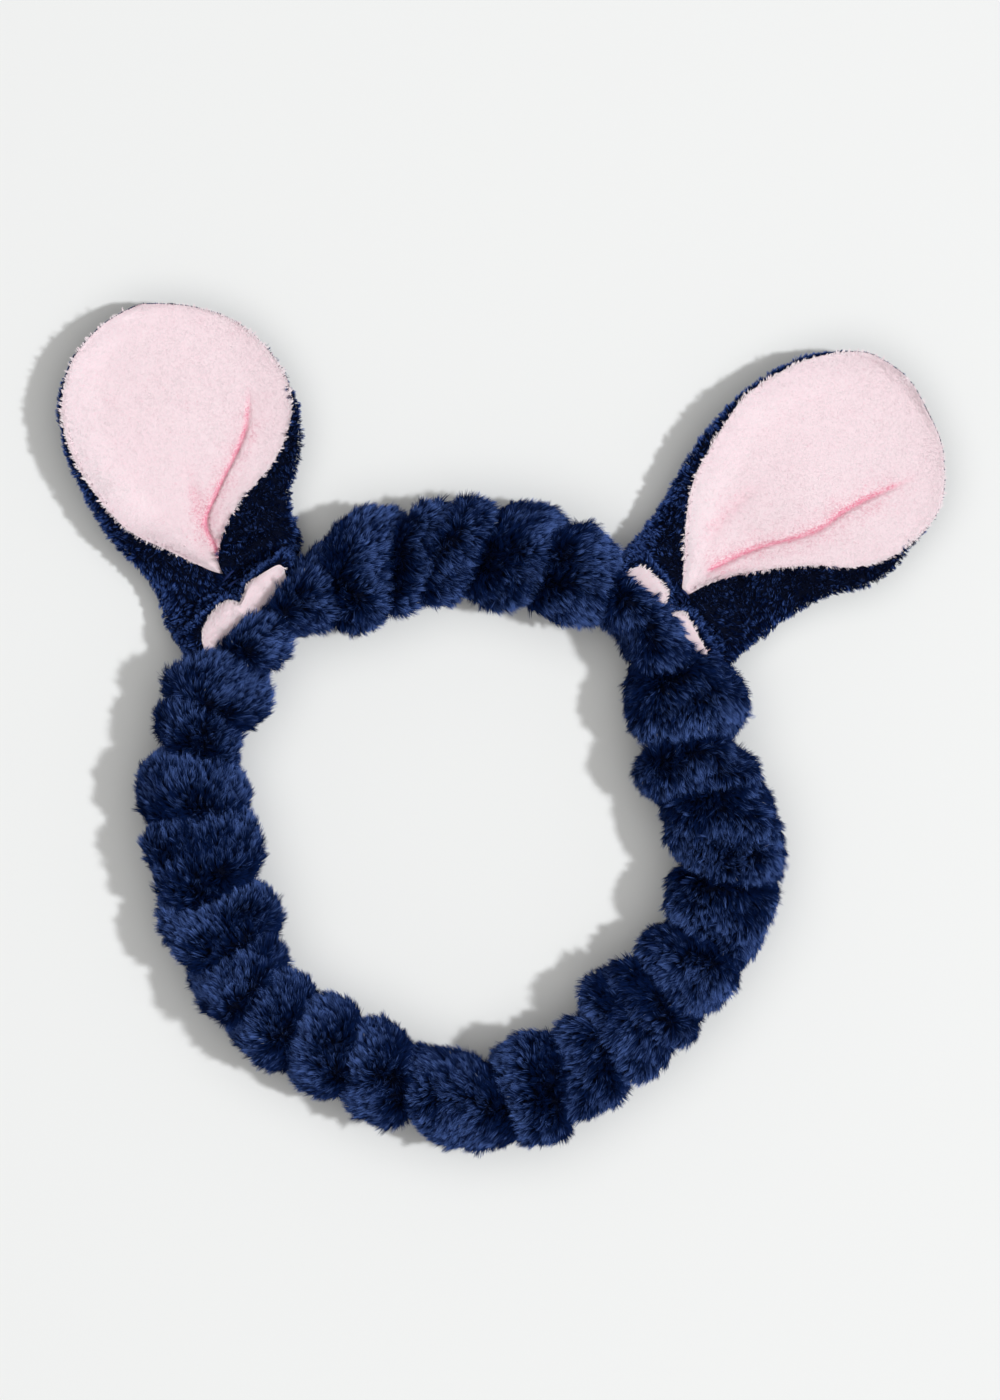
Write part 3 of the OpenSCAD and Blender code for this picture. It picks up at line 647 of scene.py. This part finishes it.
RIGHT_EAR_ROWS = [
    (-7.0, 3.0, 0.0, -17.0, -15.0, 17.5, 20.0, 17.0, 18.0), (-0.9, -3.0, 3.0, -17.8, -13.2, 14.6, 20.2, 18.8, 19.6),
    (0.3, -5.0, 3.8, -18.3, -10.6, 10.6, 20.4, 19.0, 19.4), (1.0, -5.0, 4.3, -18.5, -6.2, 5.6, 20.6, 18.4, 18.4),
    (1.6, -4.0, 4.6, -18.7, -1.6, 1.4, 20.8, 17.2, 16.2), (2.2, 0.0, 0.0, -18.8, -0.8, 0.8, 21.0, 15.8, 13.8),
    (4.6, 0.0, 0.0, -18.8, -2.0, 1.3, 21.0, 15.4, 13.0), (9.0, 0.0, 0.0, -19.2, -6.0, 2.2, 21.3, 14.2, 11.0),
    (16.0, 0.0, 0.0, -20.8, -12.9, 5.1, 21.8, 12.6, 8.4),
    (24.0, 0.0, 0.0, -23.5, -19.3, 10.0, 23.0, 12.0, 7.0), (32.0, 0.0, 0.0, -26.0, -22.6, 16.0, 25.6, 11.6, 6.4),
    (40.0, 0.0, 0.0, -27.2, -25.0, 23.8, 30.0, 11.3, 6.2), (48.0, 0.0, 0.0, -27.9, -26.7, 28.0, 31.3, 11.0, 6.2),
    (58.0, 0.0, 0.0, -26.8, -25.4, 29.0, 29.8, 10.6, 6.2), (68.0, 0.0, 0.0, -22.8, -22.2, 26.0, 26.5, 10.2, 6.6),
    (76.0, 0.0, 0.0, -17.2, -16.8, 17.2, 17.6, 9.8, 7.2), (80.2, 0.0, 0.0, -10.3, -10.0, 5.6, 6.0, 9.5, 8.0),
    (81.5, 0.0, 0.0, -5.0, -4.8, 0.4, 0.6, 9.2, 8.8),
]
# Way out and across of the crease beside the thick fold, and of a small dent next to it (mm)
LEFT_EAR_CREASE = [(9, -2.9), (14, -3.3), (21, -4.2), (27, 0.0), (42, 11.2), (50, 13.6)]
LEFT_EAR_DENT = [(17, -3.6), (22, -4.9), (28, -5.6), (36, -6.0)]
RIGHT_EAR_CREASE = [(10, -0.2), (14, 0.4), (24, 3.3), (41, 11.0), (47, 11.6), (66, 17.0)]
RIGHT_EAR_DENT = [(15, -6.4), (20, -7.0), (30, -7.9), (37, -8.2)]
EARS = {
    "left": dict(at=(-55.0, 55.75), out=(-0.2211, 0.9753), rows=LEFT_EAR_ROWS, crease=LEFT_EAR_CREASE,
                 dent=LEFT_EAR_DENT, navy_to=(69, 54)),
    "right": dict(at=(53.0, 54.0), out=(0.7413, 0.6712), rows=RIGHT_EAR_ROWS, crease=RIGHT_EAR_CREASE,
                  dent=RIGHT_EAR_DENT, navy_to=(76, 63)),
}
print("ears:", ", ".join(f"{side} {ear['rows'][-1][0]} mm long" for side, ear in EARS.items()))

# %% [markdown]
# The rows are joined by smooth curves. The pink panel's height across a row is a dish on the left and, on the
# right, a padded roll that rises from the crease. The navy panel starts at the same edges and goes round the
# outside and under. The whole ear rises a little from its seam, so that its rim stands clear of the table.

# %% Ear surfaces
EAR_STEPS = 132
PINK_STEPS = 150
FOLD_STEPS, UNDER_STEPS, BOTTOM_STEPS = 18, 12, 26
NAVY_LOFT, PINK_LOFT = 1.3, 0.4
EAR_BOTTOM, EAR_THICKNESS = 0.9, 5.0
EAR_RISE, RISE_FROM, RISE_OVER = 4.5, 5.0, 43.0
NOTCH_HALF = 2.2
CREASE_FADE, DENT_FADE = 13, 9
COLUMNS = ("out", "slant", "dip", "outer_left", "pink_left", "pink_right", "outer_right", "edge", "floor")


def ear_rows(ear):
    table = np.array(ear["rows"])
    steps = np.abs(np.diff(table[:, [0, 3, 4, 5, 6]], axis=0)).max(1)
    places = np.concatenate([[0], np.cumsum(steps)])
    at = np.linspace(0, places[-1], EAR_STEPS)
    return {name: curve_through(places, table[:, n])(at)[:, None] for n, name in enumerate(COLUMNS)}


def rise_at(rows):
    return EAR_RISE * ease((rows["out"] - RISE_FROM) / RISE_OVER)


def on_ear(ear, rows, x, z):
    """Points of the ear from the distance across a row and the height, in millimetres."""
    slant = np.radians(rows["slant"])
    out = rows["out"] + x * np.sin(slant) - rows["dip"] * np.exp(-(x / NOTCH_HALF) ** 2)
    across = x * np.cos(slant)
    z = z + rise_at(rows)
    ahead = np.array(ear["out"])
    aside = np.array([ahead[1], -ahead[0]])
    return np.stack([ear["at"][0] + across * aside[0] + out * ahead[0],
                     ear["at"][1] + across * aside[1] + out * ahead[1], z + 0 * out], -1)


def crease_across(points, out, fade):
    """Where a crease runs across the ear, and how strong it is, from nothing at both ends."""
    line = np.array(points)
    start, end = line[0, 0], line[-1, 0]
    strength = ease((out - start) / 5) * (1 - ease((out - end + fade) / (1.3 * fade)))
    return curve_through(line[:, 0], line[:, 1])(out), strength


def pinch_share(rows):
    """1 where the two folds are pinched together over the pink, 0 where they lie apart."""
    return np.exp(-((rows["pink_right"] - rows["pink_left"]) / 2.3) ** 2) * (rows["out"] < 30)


def pink_height(ear, rows, x):
    left, right = rows["pink_left"], rows["pink_right"]
    edge, floor = rows["edge"], rows["floor"]
    rim = np.minimum(11, 0.5 * (right - left))
    dish = np.clip(1 - (x - left) / rim, 0, 1) ** 2
    plain = 0.3 * np.clip(1 - (right - x) / rim, 0, 1) ** 2
    line, strength = crease_across(ear["crease"], rows["out"], CREASE_FADE)
    line = np.minimum(line, right - 0.8)
    past = np.maximum(x - line, 0)
    roll = 0.07 * (1 - np.exp(-(past / 1.9) ** 1.4)) + 0.18 * np.clip(past / (right - line), 0, 1) ** 2
    groove = 0.45 * strength * np.exp(-((x - line) / 0.7) ** 2)
    dent, dent_strength = crease_across(ear["dent"], rows["out"], DENT_FADE)
    groove = groove + 0.25 * dent_strength * np.exp(-((x - dent) / 1.8) ** 2)
    right_side = plain * (1 - strength) + roll * strength
    return floor + (edge - floor) * np.maximum(dish, right_side) - groove - 4.5 * pinch_share(rows)


def under_height(rows, x, outer_left, outer_right):
    """Height of the ear's underside, which lifts off the table towards the rims."""
    opened = ease((rows["out"] - 14) / 18)
    wide = 8 + 6 * opened
    wide = np.minimum(wide, 0.48 * (outer_right - outer_left))
    widest_at = 6.0 + (rows["edge"] - 9.0) * opened
    bottom = np.where(rows["out"] < 40, EAR_BOTTOM, np.maximum(EAR_BOTTOM, rows["floor"] - EAR_THICKNESS))
    widest_at = np.maximum(widest_at, bottom + 0.8)
    near = np.minimum(x - outer_left, outer_right - x)
    share = np.clip(1 - near / wide, 0, 1)
    return bottom + (widest_at - bottom) * (1 - np.sqrt(1 - share ** 2)), widest_at, wide


def ear_shapes(ear, seed):
    rows = ear_rows(ear)
    q = np.linspace(0, 1, PINK_STEPS)[None, :]
    left, right = rows["pink_left"] + PINK_LOFT, rows["pink_right"] - PINK_LOFT
    right = np.maximum(right, left + 0.3)
    x = left + (right - left) * q
    z = pink_height(ear, rows, x)
    pink = on_ear(ear, rows, x, z)
    soft = np.clip((x - left) * (right - x) / 30, 0, 1)
    spread = waves(pink.reshape(-1, 3), 18, 36, seed) * 0.16 + waves(pink.reshape(-1, 3), 4, 9, seed + 1) * 0.03
    pink[..., 2] += spread.reshape(soft.shape) * soft
    inset = NAVY_LOFT + 1.9 * ease((rows["out"] - 45) / 18)
    outer_left = np.minimum(rows["outer_left"] + inset, left)
    outer_right = np.maximum(rows["outer_right"] - inset, right)
    _, widest_at, wide = under_height(rows, left, outer_left, outer_right)
    turn = np.linspace(0, np.pi / 2, FOLD_STEPS)[None, :]
    sag = np.linspace(0, np.pi / 2, UNDER_STEPS + 1)[None, 1:]
    hump = 0.05 * np.sin(2 * turn)
    closed = pinch_share(rows)

    def side(edge_x, outer_x, way):
        edge_z = pink[:, -1 if way > 0 else 0, 2][:, None] - rise_at(rows) + 3.2 * closed
        edge_x = edge_x - way * closed
        top_x = edge_x + (outer_x - edge_x) * np.sin(turn) ** 0.9
        top_z = widest_at + (edge_z - widest_at) * np.cos(turn) ** 0.8 + hump * np.abs(outer_x - edge_x)
        low_x = outer_x - way * wide * (1 - np.cos(sag))
        low_z = under_height(rows, low_x, outer_left, outer_right)[0]
        return np.hstack([top_x, low_x]), np.hstack([top_z, low_z])

    right_x, right_z = side(right, outer_right, 1)
    left_x, left_z = side(left, outer_left, -1)
    share = np.linspace(0, 1, BOTTOM_STEPS + 2)[None, 1:-1]
    bottom_x = right_x[:, -1:] + (left_x[:, -1:] - right_x[:, -1:]) * share
    bottom_z = under_height(rows, bottom_x, outer_left, outer_right)[0]
    x = np.hstack([right_x, bottom_x, left_x[:, ::-1]])
    z = np.hstack([right_z, bottom_z, left_z[:, ::-1]])
    navy = on_ear(ear, rows, x, z)
    share = (x - left) / (right - left)
    ends = []
    for row in (0, -1):
        here = np.clip(share[row], 0, 1) * (PINK_STEPS - 1)
        whole = np.arange(PINK_STEPS)
        ends.append(np.stack([np.interp(here, whole, pink[row, :, n]) for n in range(3)], 1) - [0, 0, 0.3])
    navy = np.concatenate([ends[0][None], navy, ends[1][None]])
    return rows, pink, navy


print("ear grids:", EAR_STEPS, "rows, pink panels", PINK_STEPS, "points wide")

# %% [markdown]
# Between the panels lies a thin wadding. A thread runs round the edge, and three short stitches hold the pinch.

# %% Threads and wadding
def thread_tube(name, paths, radius, finish):
    """Thread laid along one or more paths, as tubes of six sides."""
    points, faces, first = [], [], 0
    round_ = np.arange(6) * np.pi / 3
    for path in paths:
        path = np.asarray(path, float)
        along = unit(np.gradient(path, axis=0))
        beside = unit(np.cross(along, [0.1, 0.2, 1.0]))
        above = np.cross(beside, along)
        ring = (np.cos(round_)[None, :, None] * beside[:, None] + np.sin(round_)[None, :, None] * above[:, None])
        points.append((path[:, None] + radius * ring).reshape(-1, 3))
        faces.append(grid_faces(len(path), 6, False, True) + first)
        first += 6 * len(path)
    obj = new_mesh(name, np.vstack(points), np.vstack(faces))
    obj.data.materials.append(finish)
    return obj


def wadding(name, ear, rows):
    """The thin fill between the panels, just inside both."""
    some = {key: value[30:-4:3] for key, value in rows.items()}
    share = np.linspace(0, 1, 25)[None, :]
    left, right = some["pink_left"] + 5, some["pink_right"] - 5
    right = np.maximum(right, left + 0.5)
    x = left + (right - left) * share
    top = pink_height(ear, some, x) - 1.3
    low = under_height(some, x, some["outer_left"] + 2.2, some["outer_right"] - 2.2)[0] + 0.8
    middle = (top + low) / 2
    half = np.clip((top - low) / 2, 0.05, 2) * np.sqrt(np.clip(4 * share * (1 - share), 0.01, 1))
    loop = np.hstack([x, x[:, -2:0:-1]])
    z = np.hstack([middle + half, (middle - half)[:, -2:0:-1]])
    points = on_ear(ear, some, loop, z)
    ends = points[[0, -1]].mean(1)
    points = np.concatenate([points[:1] * 0 + ends[0], points, points[:1] * 0 + ends[1]])
    obj = new_mesh(name, points.reshape(-1, 3), grid_faces(*points.shape[:2], False, True))
    obj.data.materials.append(wadding_cloth)
    return obj


def pinch_tack(name, ear, rows):
    """Three short stitches across the place where the two folds meet."""
    width = (rows["pink_right"] - rows["pink_left"])[:, 0]
    closed = int(np.argmin(width[:60]))
    stitches = []
    for step in (-2, 0, 2):
        one = {key: value[closed + step:closed + step + 1] for key, value in rows.items()}
        middle = (one["pink_left"] + one["pink_right"]) / 2
        arch = np.linspace(-1, 1, 9)[None, :]
        stitches.append(on_ear(ear, one, middle + 1.7 * arch, one["edge"] - 1.4 - 1.2 * arch ** 2)[0])
    return thread_tube(name, stitches, 0.3, navy_thread)


print("threads, wadding and tacks ready")

# %% [markdown]
# The ears' pile changes from place to place: it is pinker along the creases, as painted shade, longer at the pink
# panel's edge and shorter on the side of the rim. The navy pile gets painted light and shade by the way its cloth
# faces. The functions below say where on the ear a blade stands.

# %% Pile of the ears
EAR_BLADES, PINK_BLADES = 64000, 70000
# Navy folds that face this way get a painted lighter tone, and those that face away get a painted darker one.
EAR_PAINTED_LIGHT_SIDE = np.array([-0.7, 0.7, 0])
PINK_COMB = np.array([0.9, 0.2, 0])
# Width of the painted crease shade, the dent's share of it and its shift across the crease.
CREASE_WIDTH, DENT_SHARE, NAP_SHIFT = 0.7, 0.22, 0.5
LOBES_TO, LOBES_FADE = 3, 3


def out_and_across(ear, places):
    """How far places lie out along the ear and across it, in millimetres."""
    ahead = np.array(ear["out"])
    flat = places[:, :2] - np.array(ear["at"])
    return flat @ ahead, flat @ np.array([ahead[1], -ahead[0]])


def near_crease(ear, places, crease, dent, shift=0.0):
    """Where the painted crease shade goes: 1 on the crease, falling to 0 within the given distance; the dent counts for
    less.
    """
    out, across = out_and_across(ear, places)
    line, strength = crease_across(ear["crease"], out, CREASE_FADE)
    small, small_strength = crease_across(ear["dent"], out, DENT_FADE)
    return (strength * np.exp(-((across - line + shift) / crease) ** 2)
            + DENT_SHARE * small_strength * np.exp(-((across - small + shift) / dent) ** 2))


def edge_share(pink):
    """1 at the edge of a panel, falling to 0 about two millimetres inside; nothing where the panel is pinched."""
    step = np.linalg.norm(pink - pink[:, :1], axis=2)
    inside = np.minimum(step, step[:, -1:] - step)
    tip = np.linalg.norm(pink - pink[-1:].mean(1, keepdims=True), axis=2)
    opened = 1 - np.exp(-(step[:, -1:] / 5) ** 2)
    return (opened * np.exp(-(np.minimum(inside, 0.6 * tip) / 1.1) ** 2)).ravel()


def below_rim(ear, places, normals):
    """Out at the tip the pink panel laps over the rim, so there navy pile only grows underneath."""
    out, across = out_and_across(ear, places)
    last = np.where(across < 0, *ear["navy_to"])
    return np.clip(1 - ease((out - last + 12) / 14) + (normals[:, 2] < -0.7), 0, 1)


def pink_nap(name, ear, pink, front, rng, seed):
    """Short nap, combed to one side; at the edges and on the lobes it is longer and points away."""
    places, ways, rim = cloth_points(front, PINK_BLADES, rng, carry=edge_share(pink))
    away = unit((places - pink.reshape(-1, 3).mean(0)) * [1, 1, 0])
    lobes = 1 - ease((out_and_across(ear, places)[0] - LOBES_TO) / LOBES_FADE)[:, None]
    away = unit(away * (1 - lobes) + np.array([*ear["out"], 0]) * lobes)
    rim = np.maximum(rim, 0.5 * lobes[:, 0])
    comb = PINK_COMB * (1 - rim[:, None]) + 1.2 * away * rim[:, None]
    ways = unit(ways * (1 - rim[:, None]) + np.array([0, 0, 1]) * rim[:, None])
    # Painted shade: the nap turns deep pink along the crease and the dent, in a narrow line that the waves break up,
    # and a little pinker in a wide band round them.
    broken = 0.5 + 0.2 * waves(places, 2, 6, seed + 3)
    paler = (0.33 - broken * near_crease(ear, places, CREASE_WIDTH, 2.0, NAP_SHIFT)
             - 0.24 * near_crease(ear, places, 5.0, 5.0))
    return grow_pile(name, places, ways, rng, length=0.5, width=0.15 + 0.03 * rim, lean=1.0, draw=0.1 + 0.4 * rim,
                     per_tuft=7, finish=pink_pile_finish, seed=seed, comb=comb, rough=0.25, short=-1.8 * rim,
                     uneven=0.26 + 0.4 * rim, even=True, paler=paler)


def navy_fur(name, ear, pink, back, rng, seed):
    """Longer pile that points away from the ear's middle; on the side of the rim it is short and hangs."""
    places, ways, _ = cloth_points(back, EAR_BLADES, rng,
                                   lambda at, way: (below_rim(ear, at, way) > 0.02) | (way[:, 2] < 0.1))
    below = below_rim(ear, places, ways)[:, None]
    away = unit((places - pink.reshape(-1, 3).mean(0)) * [1, 1, 0])
    comb = 0.8 * away * below + np.array([0, 0, -2.0]) * (1 - below)
    # paler paints light and shade on the navy pile by the way its cloth faces; end_on paints shade on standing blades.
    return grow_pile(name, places, ways, rng, length=1.9, width=0.18, lean=0.45, draw=0.6, per_tuft=9,
                     finish=ear_pile_finish, seed=seed, comb=comb, droop=0.3, end_on=0.35, short=0.7 * (1 - below),
                     uneven=0.34, paler=-0.04 + 0.3 * ways @ EAR_PAINTED_LIGHT_SIDE)


print("pile of each ear:", PINK_BLADES, "pink and", EAR_BLADES, "navy blades")

# %% [markdown]
# An ear is sewn down at its base, so it doesn't swing like a door: the folds there stay with the band, and over the
# next few millimetres the cloth bends. The pink nap beyond the bend is split off and rides the ear as a rigid piece,
# because the normals that it is lit by would not turn with a blend.

# %% The bend
BEND_FROM, BEND_TO = 1.0, 15.0


def ear_point(ear, out):
    """A point on the table on the ear's middle line, in metres."""
    return tuple(MM * (at + out * way) for at, way in zip(ear["at"], ear["out"])) + (0,)


def split_beyond(obj, name, ear, out):
    """Faces further out than a line across the ear become a piece of their own, with their normals."""
    centres = np.empty(3 * len(obj.data.polygons))
    obj.data.polygons.foreach_get("center", centres)
    flat = centres.reshape(-1, 3)[:, :2] - np.array(ear_point(ear, out))[:2]
    bpy.context.tool_settings.mesh_select_mode = (False, False, True)
    bpy.ops.object.select_all(action="DESELECT")
    obj.select_set(True)
    bpy.context.view_layer.objects.active = obj
    obj.data.polygons.foreach_set("select", flat @ np.array(ear["out"]) > 0)
    bpy.ops.object.mode_set(mode="EDIT")
    bpy.ops.mesh.separate(type="SELECTED")
    bpy.ops.object.mode_set(mode="OBJECT")
    beyond = next(o for o in bpy.context.selected_objects if o is not obj)
    beyond.name = beyond.data.name = name
    return beyond


print("ears bend from", BEND_FROM, "to", BEND_TO, "mm out")

# %% [markdown]
# Now both ears are made with the same steps: cloths, piles, threads and wadding, and then which of the frame's nodes
# each piece stands for; only the pink nap beyond the bend follows the ear. The edge's thread starts past the pinch.

# %% Both ears
SEAM_FROM = 44
for number, (side, ear) in enumerate(EARS.items()):
    seed = 200 + 40 * number
    rows, pink, navy = ear_shapes(ear, seed)
    name = side + "_ear_"
    front = new_mesh(name + "front_cloth", pink.reshape(-1, 3), grid_faces(*pink.shape[:2]))
    front.data.materials.append(pink_cloth)
    # How much painted crease shade the pink cloth gets at each point.
    deep = np.clip(0.6 * near_crease(ear, pink.reshape(-1, 3), CREASE_WIDTH, 1.8), 0, 1)
    front.data.attributes.new(CREASE, "FLOAT", "POINT").data.foreach_set("value", deep.astype(np.float32))
    back = new_mesh(name + "back_cloth", navy.reshape(-1, 3), grid_faces(*navy.shape[:2]))
    back.data.materials.append(navy_cloth)
    rng = np.random.default_rng(seed)
    nap = pink_nap(name + "base_pile", ear, pink, front, rng, seed)
    fur = navy_fur(name + "back_pile", ear, pink, back, rng, seed + 10)
    edge = np.concatenate([pink[SEAM_FROM:, 0], pink[:SEAM_FROM - 1:-1, -1]]) - [0, 0, 0.9]
    seam = thread_tube(name + "seam_thread", [edge], 0.2, pink_thread)
    fill = wadding(name + "wadding_fill", ear, rows)
    tack = pinch_tack(name + "tack_thread", ear, rows)
    outer_nap = split_beyond(nap, name + "front_pile", ear, BEND_TO)
    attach(outer_nap, side + "_ear")
    for piece, node, slot in ((front, "front", "pink_plush"), (back, "back", "ear_plush"), (nap, None, "pink_plush"),
                              (fur, None, "ear_plush"), (seam, "edge_seam", "pink_thread"),
                              (fill, "wadding", "wadding"), (tack, "pinch_tack", "navy_thread")):
        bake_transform(piece)
        if node:
            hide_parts(name + node)
    print(side, "ear:", len(pink), "rows, pile of", PINK_BLADES + EAR_BLADES, "blades")

# %% [markdown]
# ## What moves with what
# The tube, its pile and the closing seam belong to the band. The cloth stands for the frame's plain solid, which
# stays only for collision. What is hidden, such as the elastic and the hems, stays as the frame has it and only gets
# its finish.

# %% Closing seam and kept nodes
CLOSING_GATHER = 21
row = CLOSING_GATHER * STEPS_PER_GATHER
loop = tube[row] - 0.3 * outward[row]
closing_seam = thread_tube("closing_seam_thread", [np.vstack([loop, loop[:2]])], 0.35, navy_thread)
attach(closing_seam, "band")
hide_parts("cover_closing_seam")
for node, finish in (("elastic_band", elastic_cloth), ("elastic_lap_stitches", navy_thread),
                     ("cover_long_seam", navy_thread), ("left_ear_hem", navy_cloth), ("right_ear_hem", navy_cloth),
                     ("left_ear_base_thread", navy_thread), ("right_ear_base_thread", navy_thread)):
    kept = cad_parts[node]
    kept.data.materials.clear()
    kept.data.materials.append(finish)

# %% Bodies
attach(band_skin, "band")
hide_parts("band_cover")
for piece in band_pile:
    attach(piece, "band")
